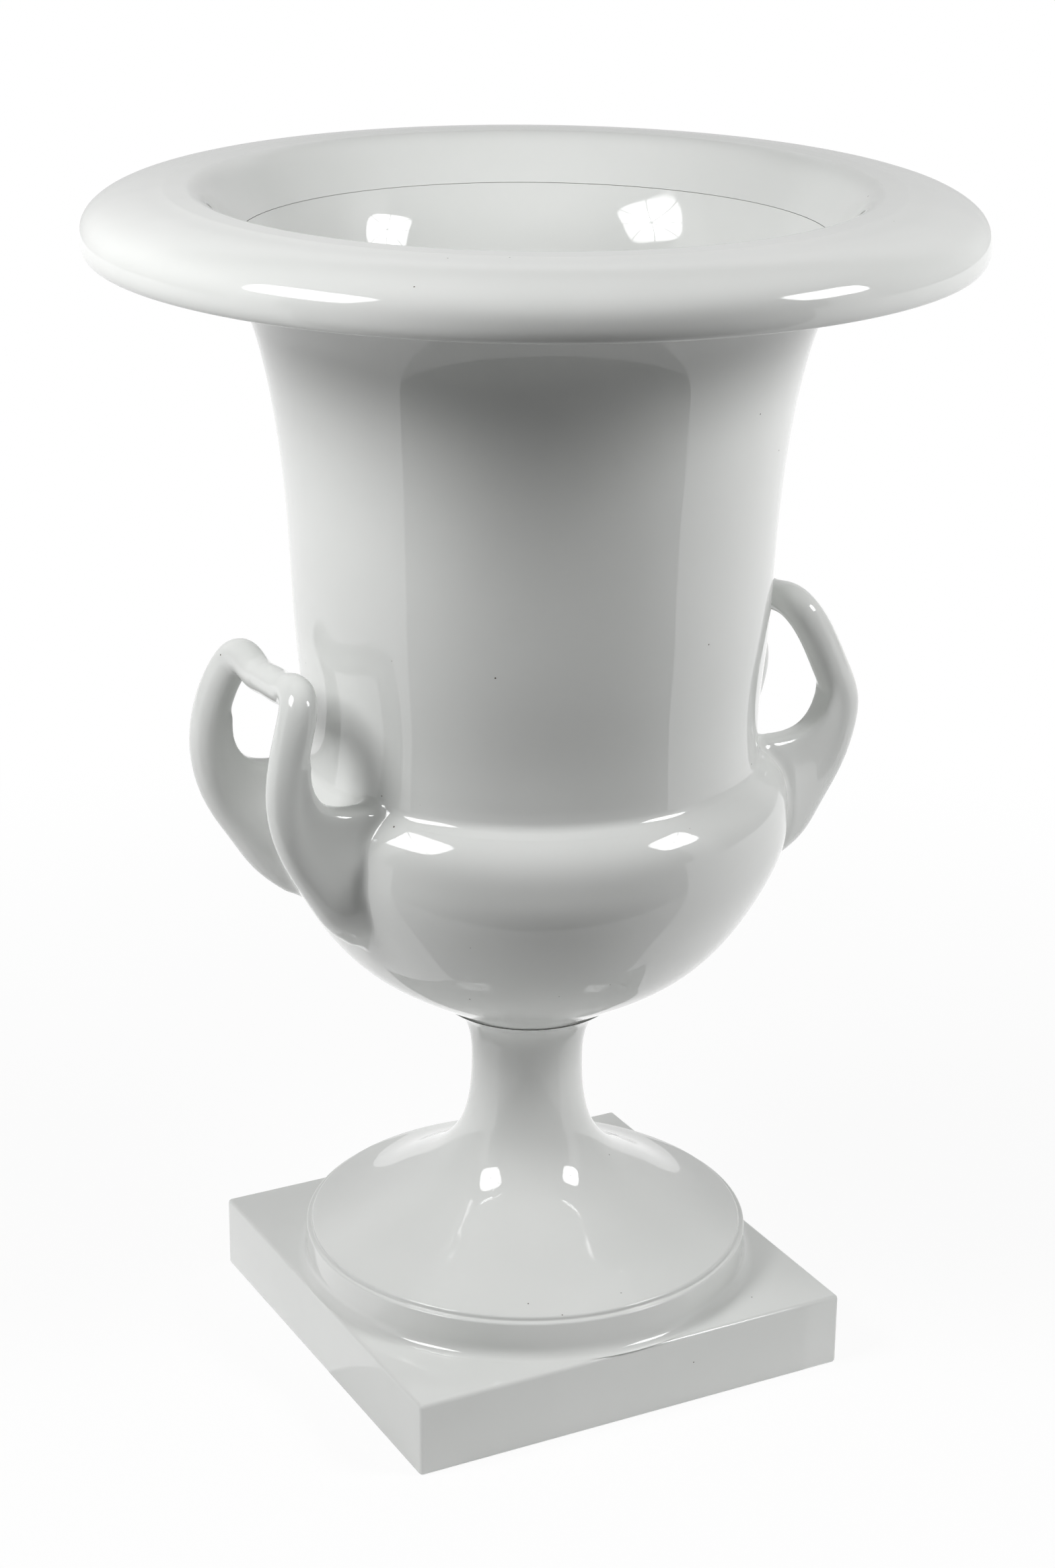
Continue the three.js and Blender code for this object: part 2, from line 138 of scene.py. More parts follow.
vase = {
    "plinthTop": 32.7, "discRadius": 96.0, "stemTop": 154.2, "seamRadius": 37.05, "bowlBottom": 155.1,
    "floorTop": 165.6, "girth": 108.0, "girthHeight": 237.1, "ledge": 267.0, "ledgeRadius": 95.2,
    "neckBottom": 267.3, "neckHeight": 213.5, "tuck": 0.4, "waist": 94.4, "waistRise": 20.0,
    "flareTop": 128.0, "mouth": 117.2, "lipRadius": 178.5, "crest": 500.5, "wall": 7.5, "boltHole": 5.0,
    "throat": 86.9, "pooled": 2.2, "gap": 0.25,
    # from the seam out to the girth, from the girth in to the ledge, from the waist out to the flare's top
    "side": [(0, 0), (0.208, 0.108), (0.543, 0.305), (0.741, 0.5), (0.88, 0.7), (0.97, 0.875), (1, 1)],
    "shoulder": [(0.008, 0.214), (0.047, 0.398), (0.141, 0.552), (0.32, 0.696), (0.555, 0.819), (1, 1)],
    "rise": [(0.068, 0.225), (0.149, 0.45), (0.262, 0.64), (0.436, 0.79), (0.585, 0.865), (0.757, 0.915),
             (0.89, 0.945), (1, 0.966)],
    # the hollow under the lip, from the flare's top out to the lip's edge
    "underLip": [(133.5, 478.0), (143.0, 482.6), (156.5, 484.6), (168.0, 482.0), (173.4, 477.4)],
}


def bowlLine():
    v = vase
    girth = v["girth"], v["girthHeight"]
    side = shared((v["seamRadius"], v["bowlBottom"]), girth, v["side"])
    # up to the shoulder it stays nearly upright, then slants to the ledge
    return curveThrough(side + shared(girth, (v["ledgeRadius"], v["ledge"]), v["shoulder"]), 84)


def neckLine():
    # up the neck and on under the lip, so that the two pieces flow into each other
    v = vase
    low, high = v["neckBottom"], v["neckBottom"] + v["neckHeight"]
    points = [(v["ledgeRadius"] - v["tuck"], low), (v["waist"], low + v["waistRise"])]
    points += shared((v["waist"], low), (v["flareTop"], high), v["rise"])
    return curveThrough(points + v["underLip"], 170)


def flareStep(line):
    # where on the neck's line the lip takes over
    return min(range(len(line)), key=lambda i: abs(line[i][0] - vase["flareTop"]))


def skinLine():
    # the outside of the bowl and neck as one line, with the glaze pooled in the corner at the ledge
    low, high = bowlLine(), neckLine()
    corner = softened([low[-4], low[-1], high[3]], vase["pooled"], 8)
    return low[:-4] + corner + [p for p in high[4:] if p[1] < 330]


# Meshes are made in metres


def pickNothing():
    if bpy.context.object and bpy.context.object.mode != "OBJECT":
        bpy.ops.object.mode_set(mode="OBJECT")
    bpy.ops.object.select_all(action="DESELECT")


def pickOnly(piece):
    pickNothing()
    piece.select_set(True)
    bpy.context.view_layer.objects.active = piece


def drawLine(name, points):
    # one vertex, then an extrusion to each next point
    pickNothing()
    places = [Vector(p) / 1000 for p in points]
    bpy.ops.mesh.primitive_plane_add(size=0.002, location=places[0])
    piece = bpy.context.object
    piece.name = piece.data.name = name
    bpy.ops.object.transform_apply(location=True, rotation=False, scale=False)
    bpy.ops.object.mode_set(mode="EDIT")
    bpy.ops.mesh.select_mode(type="VERT")
    bpy.ops.mesh.select_all(action="SELECT")
    bpy.ops.mesh.merge(type="CENTER")
    for before, after in zip(places, places[1:]):
        bpy.ops.mesh.extrude_vertices_move(TRANSFORM_OT_translate={"value": after - before})
    return piece


def sewUp():
    # corners on the same spot become one
    bpy.ops.mesh.select_all(action="SELECT")
    bpy.ops.mesh.remove_doubles(threshold=1e-6)
    bpy.ops.mesh.select_all(action="SELECT")


def drawOutline(name, points):
    piece = drawLine(name, points + points[:1])
    sewUp()
    return piece


def spinPiece(name, outline, steps=176, angle=40):
    # a closed outline turned once round the vase
    piece = drawOutline(name, [(r, 0, z) for r, z in outline])
    bpy.ops.mesh.spin(steps=steps, angle=2 * math.pi, center=(0, 0, 0), axis=(0, 0, 1))
    sewUp()
    bpy.ops.mesh.normals_make_consistent(inside=False)
    bpy.ops.object.mode_set(mode="OBJECT")
    bpy.ops.object.shade_smooth_by_angle(angle=math.radians(angle))
    return piece


def roundEdges(piece, width, segments, angle):
    edges = piece.modifiers.new("edges", "BEVEL")
    edges.width = width / 1000
    edges.segments = segments
    edges.limit_method = "ANGLE"
    edges.angle_limit = math.radians(angle)


def cutWith(piece, tool, operation="DIFFERENCE"):
    cut = piece.modifiers.new("cut", "BOOLEAN")
    cut.object = tool
    cut.operation = operation


def rubSoft(piece, rubs, group=""):
    rub = piece.modifiers.new("rub", "SMOOTH")
    rub.factor = 0.5
    rub.iterations = rubs
    rub.vertex_group = group


def applyModifiers(piece):
    bpy.context.view_layer.objects.active = piece
    for modifier in list(piece.modifiers):
        bpy.ops.object.modifier_apply(modifier=modifier.name)


def hand(piece, nodeName, finish):
    # the finished piece takes its node's place
    piece.data.materials.clear()
    piece.data.materials.append(finish)
    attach(piece, "root")
    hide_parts(nodeName)
    return piece


# Finishes


def node(tree, kind, inputs=(), **settings):
    made = tree.nodes.new("ShaderNode" + kind)
    for key, value in settings.items():
        setattr(made, key, value)
    for name, value in dict(inputs).items():
        if isinstance(value, bpy.types.NodeSocket):
            tree.links.new(value, made.inputs[name])
        else:
            made.inputs[name].default_value = value
    return made


def figure(tree, operation, *values):
    return node(tree, "Math", dict(enumerate(values)), operation=operation).outputs[0]


def mixed(tree, share, low, high):
    return node(tree, "Mix", {0: share, 2: low, 3: high}).outputs[0]


def ramp(tree, factor, low, high, lowColor=(0, 0, 0, 1), highColor=(1, 1, 1, 1)):
    made = node(tree, "ValToRGB", {"Fac": factor})
    made.color_ramp.elements[0].position = low
    made.color_ramp.elements[1].position = high
    made.color_ramp.elements[0].color = lowColor
    made.color_ramp.elements[1].color = highColor
    return made.outputs["Color"]


def newGroup(name, inputs, outputs):
    tree = bpy.data.node_groups.new(name, "ShaderNodeTree")
    for label, kind in inputs:
        tree.interface.new_socket(name=label, in_out="INPUT", socket_type="NodeSocket" + kind)
    for label, kind in outputs:
        tree.interface.new_socket(name=label, in_out="OUTPUT", socket_type="NodeSocket" + kind)
    return tree, tree.nodes.new("NodeGroupInput").outputs, tree.nodes.new("NodeGroupOutput").inputs


def joinSockets(tree, made, out):
    for label, socket in made.items():
        tree.links.new(socket, out[label])


glazeLook = {
    "cloudScale": 11.0, "cloudFrom": 0.36, "cloudTo": 0.66, "mistScale": 95.0, "smoothest": 0.008,
    "roughest": 0.03, "speckScale": 105.0, "speckCore": 0.028, "speckEdge": 0.045, "speckRarity": 0.9,
    "speckPit": -0.12, "speckColor": (0.13, 0.11, 0.09, 1), "waveScale": 17.0,
    "cool": (0.70, 0.72, 0.70, 1), "refraction": 1.52,
}


def makeGlazeGroup():
    # uneven white, iron specks and a slow wave in the surface
    g = glazeLook
    tree, given, out = newGroup(
        "glaze_surface",
        [("White", "Color"), ("Cool", "Color"), ("Cloud", "Float"), ("Specks", "Float"), ("Wave", "Float")],
        [("Color", "Color"), ("Roughness", "Float"), ("Normal", "Vector")])
    place = node(tree, "TexCoord").outputs["Object"]
    cloud = node(tree, "TexNoise", {"Vector": place, "Scale": g["cloudScale"], "Detail": 3, "Roughness": 0.5})
    mist = node(tree, "TexNoise", {"Vector": place, "Scale": g["mistScale"], "Detail": 2, "Roughness": 0.6})
    clouds = figure(tree, "MULTIPLY", ramp(tree, cloud.outputs["Fac"], g["cloudFrom"], g["cloudTo"]),
                    given["Cloud"])
    tint = node(tree, "MixRGB", {"Fac": clouds, "Color1": given["White"], "Color2": given["Cool"]})
    cells = node(tree, "TexVoronoi", {"Vector": place, "Scale": g["speckScale"], "Randomness": 1.0})
    dot = ramp(tree, cells.outputs["Distance"], g["speckCore"], g["speckEdge"], (1, 1, 1, 1), (0, 0, 0, 1))
    chosen = node(tree, "SeparateColor", {"Color": cells.outputs["Color"]})
    rare = figure(tree, "GREATER_THAN", chosen.outputs[0], g["speckRarity"])
    specks = figure(tree, "MULTIPLY", figure(tree, "MULTIPLY", dot, rare), given["Specks"])
    color = node(tree, "MixRGB", {"Fac": specks, "Color1": tint.outputs["Color"], "Color2": g["speckColor"]})
    gloss = node(tree, "MapRange", {"Value": mist.outputs["Fac"], "To Min": g["smoothest"],
                                    "To Max": g["roughest"]})
    wave = node(tree, "TexNoise", {"Vector": place, "Scale": g["waveScale"], "Detail": 1.5, "Roughness": 0.4})
    height = figure(tree, "ADD", figure(tree, "MULTIPLY", wave.outputs["Fac"], given["Wave"]),
                    figure(tree, "MULTIPLY", specks, g["speckPit"]))
    bump = node(tree, "Bump", {"Strength": 1.0, "Distance": 0.001, "Height": height})
    joinSockets(tree, {"Color": color.outputs["Color"], "Roughness": gloss.outputs[0],
                       "Normal": bump.outputs["Normal"]}, out)
    return tree


metalLook = {"stainScale": 160.0, "stainFrom": 0.4, "stainTo": 0.7, "grainScale": 1400.0, "smoothest": 0.22,
             "roughest": 0.5}


def makeMetalGroup():
    # fine turning marks and a dull stain
    m = metalLook
    tree, given, out = newGroup(
        "turned_metal", [("Metal", "Color"), ("Stain", "Color"), ("Age", "Float")],
        [("Color", "Color"), ("Roughness", "Float"), ("Normal", "Vector")])
    place = node(tree, "TexCoord").outputs["Object"]
    blot = node(tree, "TexNoise", {"Vector": place, "Scale": m["stainScale"], "Detail": 4})
    mask = figure(tree, "MULTIPLY", ramp(tree, blot.outputs["Fac"], m["stainFrom"], m["stainTo"]),
                  given["Age"])
    tint = node(tree, "MixRGB", {"Fac": mask, "Color1": given["Metal"], "Color2": given["Stain"]})
    grain = node(tree, "TexNoise", {"Vector": place, "Scale": m["grainScale"], "Detail": 2})
    gloss = node(tree, "MapRange", {"Value": blot.outputs["Fac"], "To Min": m["smoothest"],
                                    "To Max": m["roughest"]})
    bump = node(tree, "Bump", {"Strength": 0.4, "Distance": 0.0001, "Height": grain.outputs["Fac"]})
    joinSockets(tree, {"Color": tint.outputs["Color"], "Roughness": gloss.outputs[0],
                       "Normal": bump.outputs["Normal"]}, out)
    return tree


glazeGroup = makeGlazeGroup()
metalGroup = makeMetalGroup()


def newFinish(name, group, values, **sockets):
    finish = bpy.data.materials.new(name)
    finish.use_nodes = True
    tree = finish.node_tree
    shader = tree.nodes["Principled BSDF"]
    surface = tree.nodes.new("ShaderNodeGroup")
    surface.node_tree = group
    for label, value in values.items():
        surface.inputs[label].default_value = value
    for label in ("Color", "Roughness", "Normal"):
        target = "Base Color" if label == "Color" else label
        tree.links.new(surface.outputs[label], shader.inputs[target])
    for label, value in sockets.items():
        shader.inputs[label].default_value = value
    return finish


def makePorcelain(name, white, cloud, wave):
    return newFinish(name, glazeGroup, {
        "White": white, "Cool": glazeLook["cool"], "Cloud": cloud, "Specks": 1.0, "Wave": wave,
    }, IOR=glazeLook["refraction"])


bodyGlaze = makePorcelain("body_glaze", (0.77, 0.78, 0.765, 1), 0.35, 0.55)
handleGlaze = makePorcelain("handle_glaze", (0.765, 0.775, 0.76, 1), 0.45, 0.4)
zincSteel = newFinish("zinc_steel", metalGroup, {
    "Metal": (0.56, 0.57, 0.58, 1), "Stain": (0.28, 0.27, 0.25, 1), "Age": 0.5}, Metallic=1.0)
brass = newFinish("bolt_brass", metalGroup, {
    "Metal": (0.62, 0.44, 0.17, 1), "Stain": (0.23, 0.16, 0.07, 1), "Age": 0.6}, Metallic=1.0)
rubber = newFinish("gasket_rubber", metalGroup, {
    "Metal": (0.035, 0.036, 0.038, 1), "Stain": (0.08, 0.08, 0.08, 1), "Age": 0.8}, Metallic=0.0)
print("finishes made")

# Plinth

plinthSize = {"side": 200.0, "height": 32.7, "edge": 1.7, "wall": 9.0, "plate": 8.0, "opening": 62.0}


def makePlinth():
    p = plinthSize
    pickNothing()
    bpy.ops.mesh.primitive_cube_add(size=1, location=(0, 0, p["height"] / 2000),
                                    scale=(p["side"] / 1000, p["side"] / 1000, p["height"] / 1000))
    piece = bpy.context.object
    piece.name = "plinth_block"
    bpy.ops.object.transform_apply(location=True, rotation=False, scale=True)
    bpy.ops.object.mode_set(mode="EDIT")
    bpy.ops.mesh.select_mode(type="FACE")
    bpy.ops.mesh.select_all(action="DESELECT")
    bpy.ops.object.mode_set(mode="OBJECT")
    for face in piece.data.polygons:
        face.select = face.normal.z < -0.9
    bpy.ops.object.mode_set(mode="EDIT")
    bpy.ops.mesh.inset(thickness=p["wall"] / 1000)
    bpy.ops.mesh.extrude_region_move(
        TRANSFORM_OT_translate={"value": (0, 0, (p["height"] - p["plate"]) / 1000)})
    bpy.ops.object.mode_set(mode="OBJECT")
    bpy.ops.mesh.primitive_cylinder_add(vertices=96, radius=p["opening"] / 1000, depth=0.06,
                                        location=(0, 0, p["height"] / 1000))
    cutter = bpy.context.object
    cutWith(piece, cutter)
    roundEdges(piece, p["edge"], 5, 50)
    applyModifiers(piece)
    bpy.data.objects.remove(cutter)
    pickOnly(piece)
    bpy.ops.object.shade_smooth_by_angle(angle=math.radians(35))
    return hand(piece, "plinth", bodyGlaze)


makePlinth()
print("plinth made")

# Foot

footSize = {
    "bandTop": 48.5, "bandBottom": 37.5, "bandRound": 0.9, "coveWidth": 4.6, "coveHeight": 4.76,
    "slopeRadius": 93.6, "slopeBottom": 50.3, "waist": 23.9, "waistHeight": 125.0, "wall": 7.0,
    "plateBottom": 145.2, "topRound": 0.3,
    # from the waist out and down to the slope's edge, from the waist out and up to the seam
    "sweep": [(0.758, 0.075), (0.489, 0.215), (0.247, 0.37), (0.086, 0.55), (0.014, 0.78), (0, 1)],
    "top": [(0.11, 0.5), (0.42, 0.79), (1, 1)],
}


def makeFoot():
    f, v = footSize, vase
    points = [(f["slopeRadius"], f["slopeBottom"])]
    points += shared((f["waist"], f["slopeBottom"]), (f["slopeRadius"], f["waistHeight"]), f["sweep"])
    points += shared((f["waist"], f["waistHeight"]), (v["seamRadius"], v["stemTop"]), f["top"])
    trumpet = curveThrough(points, 96)
    cove = arcLine((v["discRadius"] + f["coveWidth"], f["bandBottom"]), f["coveWidth"], f["coveHeight"],
                   270, 180, 10)
    band = softened([(v["discRadius"], f["bandBottom"] + 1), (v["discRadius"], f["bandTop"]),
                     (f["slopeRadius"], f["bandTop"]), trumpet[0], trumpet[3]], f["bandRound"])
    low, high = f["slopeBottom"] - f["wall"], f["plateBottom"]
    inside = [p for p in beside(trumpet[::2], f["wall"]) if low < p[1] < high]
    top = softened([trumpet[-2], trumpet[-1], (v["boltHole"], v["stemTop"])], f["topRound"])
    outline = [(v["discRadius"] - f["wall"], v["plinthTop"] + 0.02)] + cove + band + trumpet[4:-2] + top
    outline += [(v["boltHole"], high), (inside[-1][0], high)] + inside[::-1]
    return hand(spinPiece("foot_trumpet", outline), "foot", bodyGlaze)


makeFoot()
print("foot made")

# Bowl, with a fine collar of glaze over the seam

bowlSize = {"collarIn": 0.9, "collarLean": 0.15, "collarDrop": 0.45, "collarRound": 0.3, "insideEnd": 101.0,
            "basin": 10.0, "basinRise": 0.2}


def makeBowl():
    b, v = bowlSize, vase
    side, seam = bowlLine(), v["seamRadius"]
    inside = [p for p in beside(side[::2], v["wall"]) if v["floorTop"] + 1 < p[1] and p[0] < b["insideEnd"]]
    low = softened([(v["boltHole"], v["bowlBottom"]), (seam - b["collarIn"], v["bowlBottom"]),
                    (seam - b["collarIn"] + b["collarLean"], v["bowlBottom"] - b["collarDrop"]),
                    (seam - 0.1, v["bowlBottom"] - b["collarDrop"]), side[3]], b["collarRound"])
    start = inside[0][0]
    basin = curveThrough([inside[0], (start - b["basin"] * 0.4, v["floorTop"] + b["basinRise"]),
                          (start - b["basin"], v["floorTop"])], 8)
    outline = low + side[4:] + [(v["throat"], v["ledge"])] + inside[::-1][2:] + basin
    outline += [(v["boltHole"], v["floorTop"])]
    return hand(spinPiece("bowl_cup", outline), "bowl", bodyGlaze)


makeBowl()
print("bowl made")

# Neck, bell-shaped inside at its top

bell = {"depth": 27.0, "narrower": 6.5}


def makeNeck():
    v = vase
    full = neckLine()
    side = full[:flareStep(full) + 1]
    low = bowlLine()
    hem = [p + (0.02, 0.03) for p in softened([low[-4], low[-1], side[3]], v["pooled"], 8)]
    top = v["neckBottom"] + v["neckHeight"]
    inside = [p for p in beside(side[::2], v["wall"]) if v["neckBottom"] + 1 < p[1] < top - bell["depth"]]
    mouth = curveThrough([inside[-1], (v["mouth"] - bell["narrower"], top - bell["depth"] / 2),
                          (v["mouth"], top)], 14)
    outline = hem + side[4:] + mouth[::-1] + inside[::-1][1:]
    outline += [(v["throat"], v["neckBottom"] - v["gap"])]
    return hand(spinPiece("neck_wall", outline), "neck", bodyGlaze)


makeNeck()
print("neck made")

# Lip: out of the mouth it folds up to the crest, then rolls over to the rim

lipSize = {
    "crestRadius": 136.0, "rimHeight": 482.3, "rimIn": 0.1, "fullness": 2.5, "edgeIn": 3.2, "edgeDrop": 6.2,
    "fold": [(0.2, 0.26), (0.43, 0.56), (0.7, 0.86), (1, 1)],
}


def makeLip():
    v, lip = vase, lipSize
    under = neckLine()
    mouth = v["mouth"], v["neckBottom"] + v["neckHeight"] + v["gap"]
    crest, rim = (lip["crestRadius"], v["crest"]), v["lipRadius"] - lip["rimIn"]
    over = [mouth] + shared(mouth, crest, lip["fold"])
    over += quarterRound(crest, (rim, lip["rimHeight"]), lip["fullness"], 8)
    over += arcLine((rim - lip["edgeIn"], lip["rimHeight"]), lip["edgeIn"], lip["edgeDrop"], 0, -95, 5)[1:]
    over = [np.minimum(p, (rim, v["crest"])) for p in curveThrough(over, 130)]
    outline = over + under[flareStep(under):][::-1]
    return hand(spinPiece("lip_roll", outline), "lip", bodyGlaze)


makeLip()
print("lip made")

# Handles: a yoke of two posts and a bar, an ear at each post, and a skirt of glaze on the vase

yoke = {
    "spread": 36.0, "post": 7.9, "bar": 7.2, "rootIn": 13.2, "rootSlope": 35.0, "buried": 33.0,
    "earHalf": 6.9, "earRound": 6.3, "saddleWidth": 19.0, "saddleDepth": 13.0,
    # from the buried root out and up to the widest point
    "rise": [(0.27, 0.13), (0.53, 0.34), (0.73, 0.51), (0.97, 0.84), (1, 1)],
    "skirtHalf": 29.0, "skirtRadius": 100.0, "skirtBelow": 76.0, "skirtAbove": 20.0, "skirtSunk": 0.25,
    "skirtDeep": 2.4, "coreSunk": 2.3, "grain": 0.9, "rubs": 22,
    # how much an ear widens at the vase, from which height to which, and how far out
    "flare": 5.2, "flareTop": 262.0, "flareFull": 247.0, "flareLow": 234.0, "flareEnd": 206.0,
    "flareHeight": 22.0, "flarePower": 1.6,
    "blendRubs": 150, "blendFull": 1.35, "blendHeight": 22.0, "settleHeight": 5.5, "sunk": 0.08,
    "tipFrom": 228.0, "tipTo": 196.0, "tipIn": 8.0, "tipNarrow": 0.35,
}

# drops and rises from the ledge, bows from the bowl's girth, reaches from the neck's waist
rightPost = {
    "rootDrop": 50.0, "earHeight": 51.9, "bow": 21.2, "bowRise": 12.5, "lean": 4.8, "leanRise": 26.0,
    "reach": 12.4, "rise": 57.3, "sag": 1.2,
}
leftFront = {
    "rootDrop": 52.5, "earHeight": 54.4, "bow": 18.6, "bowRise": 10.5, "lean": 2.2, "leanRise": 27.5,
    "reach": 22.8, "rise": 49.5, "sag": 2.0,
}
leftBack = {
    "rootDrop": 52.5, "earHeight": 51.6, "bow": 21.2, "bowRise": 10.5, "lean": 2.2, "leanRise": 26.0,
    "reach": 21.4, "rise": 48.2, "sag": 3.4,
}


def eased(share):
    return share * share * (3 - 2 * share)


def postLine(post):
    # one post seen from the side, from inside the bowl up to its widest point
    slope = math.radians(yoke["rootSlope"])
    root = vase["girth"] - yoke["rootIn"], vase["ledge"] - post["rootDrop"]
    widest = vase["girth"] + post["bow"], vase["ledge"] + post["bowRise"]
    line = [(root[0] - yoke["buried"] * math.cos(slope), root[1] - yoke["buried"] * math.sin(slope)), root]
    return line + shared(root, widest, yoke["rise"])


def halfYoke(post):
    spread, ledge = yoke["spread"], vase["ledge"]
    lean, leanAt = vase["girth"] + post["bow"] - post["lean"], ledge + post["leanRise"]
    bar, barTop = vase["waist"] + post["reach"], ledge + post["rise"]
    line = [(x, spread, z) for x, z in postLine(post)]
    line += [(lean, spread, leanAt), ((lean + bar) / 2 + 0.6, spread * 0.99, (leanAt + barTop) / 2 + 1),
             (bar + 1.6, spread * 0.91, barTop - 2), (bar + 0.5, spread * 0.75, barTop),
             (bar, spread * 0.47, barTop - post["sag"] * 0.85)]
    return line


def yokeLine(first, second):
    bar = vase["waist"] + (first["reach"] + second["reach"]) / 2
    middle = vase["ledge"] + (first["rise"] - first["sag"] + second["rise"] - second["sag"]) / 2
    back = [(x, -y, z) for x, y, z in reversed(halfYoke(second))]
    return curveThrough(halfYoke(first) + [(bar, 0, middle)] + back, 150)


def makeYoke(name, side, first, second):
    points = [(side * x, side * y, z) for x, y, z in yokeLine(first, second)]
    piece = drawLine(name, points)
    bpy.ops.object.mode_set(mode="OBJECT")
    bpy.ops.object.convert(target="CURVE")
    piece = bpy.context.object
    piece.data.bevel_depth = yoke["post"] / 1000
    piece.data.bevel_resolution = 9
    piece.data.use_fill_caps = True
    for knot in piece.data.splines[0].points:
        share = min(max((abs(knot.co.y) * 1000 - 0.4 * yoke["spread"]) / (0.6 * yoke["spread"]), 0), 1)
        knot.radius = between(yoke["bar"] / yoke["post"], 1, eased(share))
    bpy.ops.object.convert(target="MESH")
    return bpy.context.object


def makeEar(name, side, post, y):
    line = postLine(post)
    widest, widestAt = line[-1]
    inner, width, depth = widest - yoke["post"], yoke["saddleWidth"], yoke["saddleDepth"]
    saddle = vase["ledge"] - post["rootDrop"] + post["earHeight"]
    inPost = max(widestAt, saddle + depth) + yoke["earRound"]
    outline = curveThrough(line, 30) + [(widest, inPost)]
    outline += curveThrough([(inner - 1.5, saddle + depth * 1.9), (inner - 1, saddle + depth * 1.4),
                             (inner - width * 0.11, saddle + depth * 0.93),
                             (inner - width * 0.3, saddle + depth * 0.44),
                             (inner - width * 0.6, saddle + depth * 0.1), (inner - width, saddle),
                             (vase["throat"], saddle)], 20)
    outline += [(line[0][0], saddle)]
    piece = drawOutline(name, [(side * x, side * y, z) for x, z in outline])
    bpy.ops.mesh.edge_face_add()
    bpy.ops.object.mode_set(mode="OBJECT")
    slab = piece.modifiers.new("slab", "SOLIDIFY")
    slab.thickness = 2 * yoke["earHalf"] / 1000
    slab.offset = 0
    roundEdges(piece, yoke["earRound"], 6, 60)
    applyModifiers(piece)
    return piece


def makeSkirt(name, side, y, skin):
    # a thin shell just under the vase's surface round one post's root
    low, high = vase["ledge"] - yoke["skirtBelow"], vase["ledge"] + yoke["skirtAbove"]
    near = [p for p in skin if low < p[1] < high]
    outline = beside(near, yoke["skirtSunk"]) + beside(near, yoke["skirtDeep"])[::-1]
    middle = math.asin(y / yoke["skirtRadius"]) + (math.pi if side < 0 else 0)
    reach = yoke["skirtHalf"] / yoke["skirtRadius"]
    start = middle - reach
    piece = drawOutline(name, [(r * math.cos(start), r * math.sin(start), z) for r, z in outline])
    bpy.ops.mesh.spin(steps=40, angle=2 * reach, center=(0, 0, 0), axis=(0, 0, -1))
    sewUp()
    bpy.ops.mesh.fill_holes(sides=0)
    bpy.ops.mesh.select_all(action="SELECT")
    bpy.ops.mesh.normals_make_consistent(inside=False)
    bpy.ops.object.mode_set(mode="OBJECT")
    return piece


def makeCore(skin):
    # what the roots are cut back to
    inner = beside(skin, yoke["coreSunk"])
    outline = [(0, inner[0][1])] + inner + [(0, inner[-1][1])]
    return spinPiece("core", outline, 96)


def vertexValues(piece, what):
    values = np.empty(len(piece.data.vertices) * 3)
    piece.data.vertices.foreach_get(what, values)
    return values.reshape(-1, 3)


def besideSkin(at, skin):
    # the vase's surface next to each point, the way out of it and how far out the point is
    line = np.array(skin) / 1000
    along = np.gradient(line, axis=0)
    out = np.stack([along[:, 1], -along[:, 0]], axis=1)
    out /= np.linalg.norm(out, axis=1)[:, None]
    flat = np.stack([np.hypot(at[:, 0], at[:, 1]), at[:, 2]], axis=1)
    start, step = line[:-1], np.diff(line, axis=0)
    foot, normal = np.empty_like(flat), np.empty_like(flat)
    for group in np.array_split(np.arange(len(flat)), 60):
        here = flat[group][:, None, :]
        share = np.clip(((here - start) * step).sum(-1) / (step ** 2).sum(-1), 0, 1)
        beneath = start + step * share[..., None]
        nearest = np.linalg.norm(here - beneath, axis=-1).argmin(axis=1)
        rows = np.arange(len(group))
        share = share[rows, nearest][:, None]
        foot[group] = beneath[rows, nearest]
        normal[group] = out[nearest] * (1 - share) + out[nearest + 1] * share
    normal /= np.linalg.norm(normal, axis=1)[:, None]
    return flat, foot, normal, ((flat - foot) * normal).sum(-1)


def flare(piece, skin):
    # near the vase the ears and posts widen, as clay that is smoothed onto a pot does
    at, faces = vertexValues(piece, "co"), vertexValues(piece, "normal")
    flat, foot, normal, rise = besideSkin(at, skin)
    outward = at[:, :2] / flat[:, :1]
    out = np.column_stack([outward * normal[:, :1], normal[:, 1]])
    sideways = faces - out * (faces * out).sum(-1)[:, None]
    share = np.clip(1 - rise * 1000 / yoke["flareHeight"], 0, 1) ** yoke["flarePower"]
    heights = [yoke["flareEnd"], yoke["flareLow"], yoke["flareFull"], yoke["flareTop"]]
    share *= np.interp(at[:, 2] * 1000, heights, [0, 1, 1, 0])
    at += sideways * (share * yoke["flare"] / 1000)[:, None]
    # towards its lower tip an ear narrows and turns in to the handle's middle
    down = (yoke["tipFrom"] - at[:, 2] * 1000) / (yoke["tipFrom"] - yoke["tipTo"])
    down = eased(np.clip(down, 0, 1))
    apart = np.abs(at[:, 1]) * 1000 - yoke["spread"]
    apart = yoke["spread"] - yoke["tipIn"] * down + apart * (1 - yoke["tipNarrow"] * down)
    at[:, 1] = np.sign(at[:, 1]) * apart / 1000
    piece.data.vertices.foreach_set("co", at.ravel())
    piece.data.update()


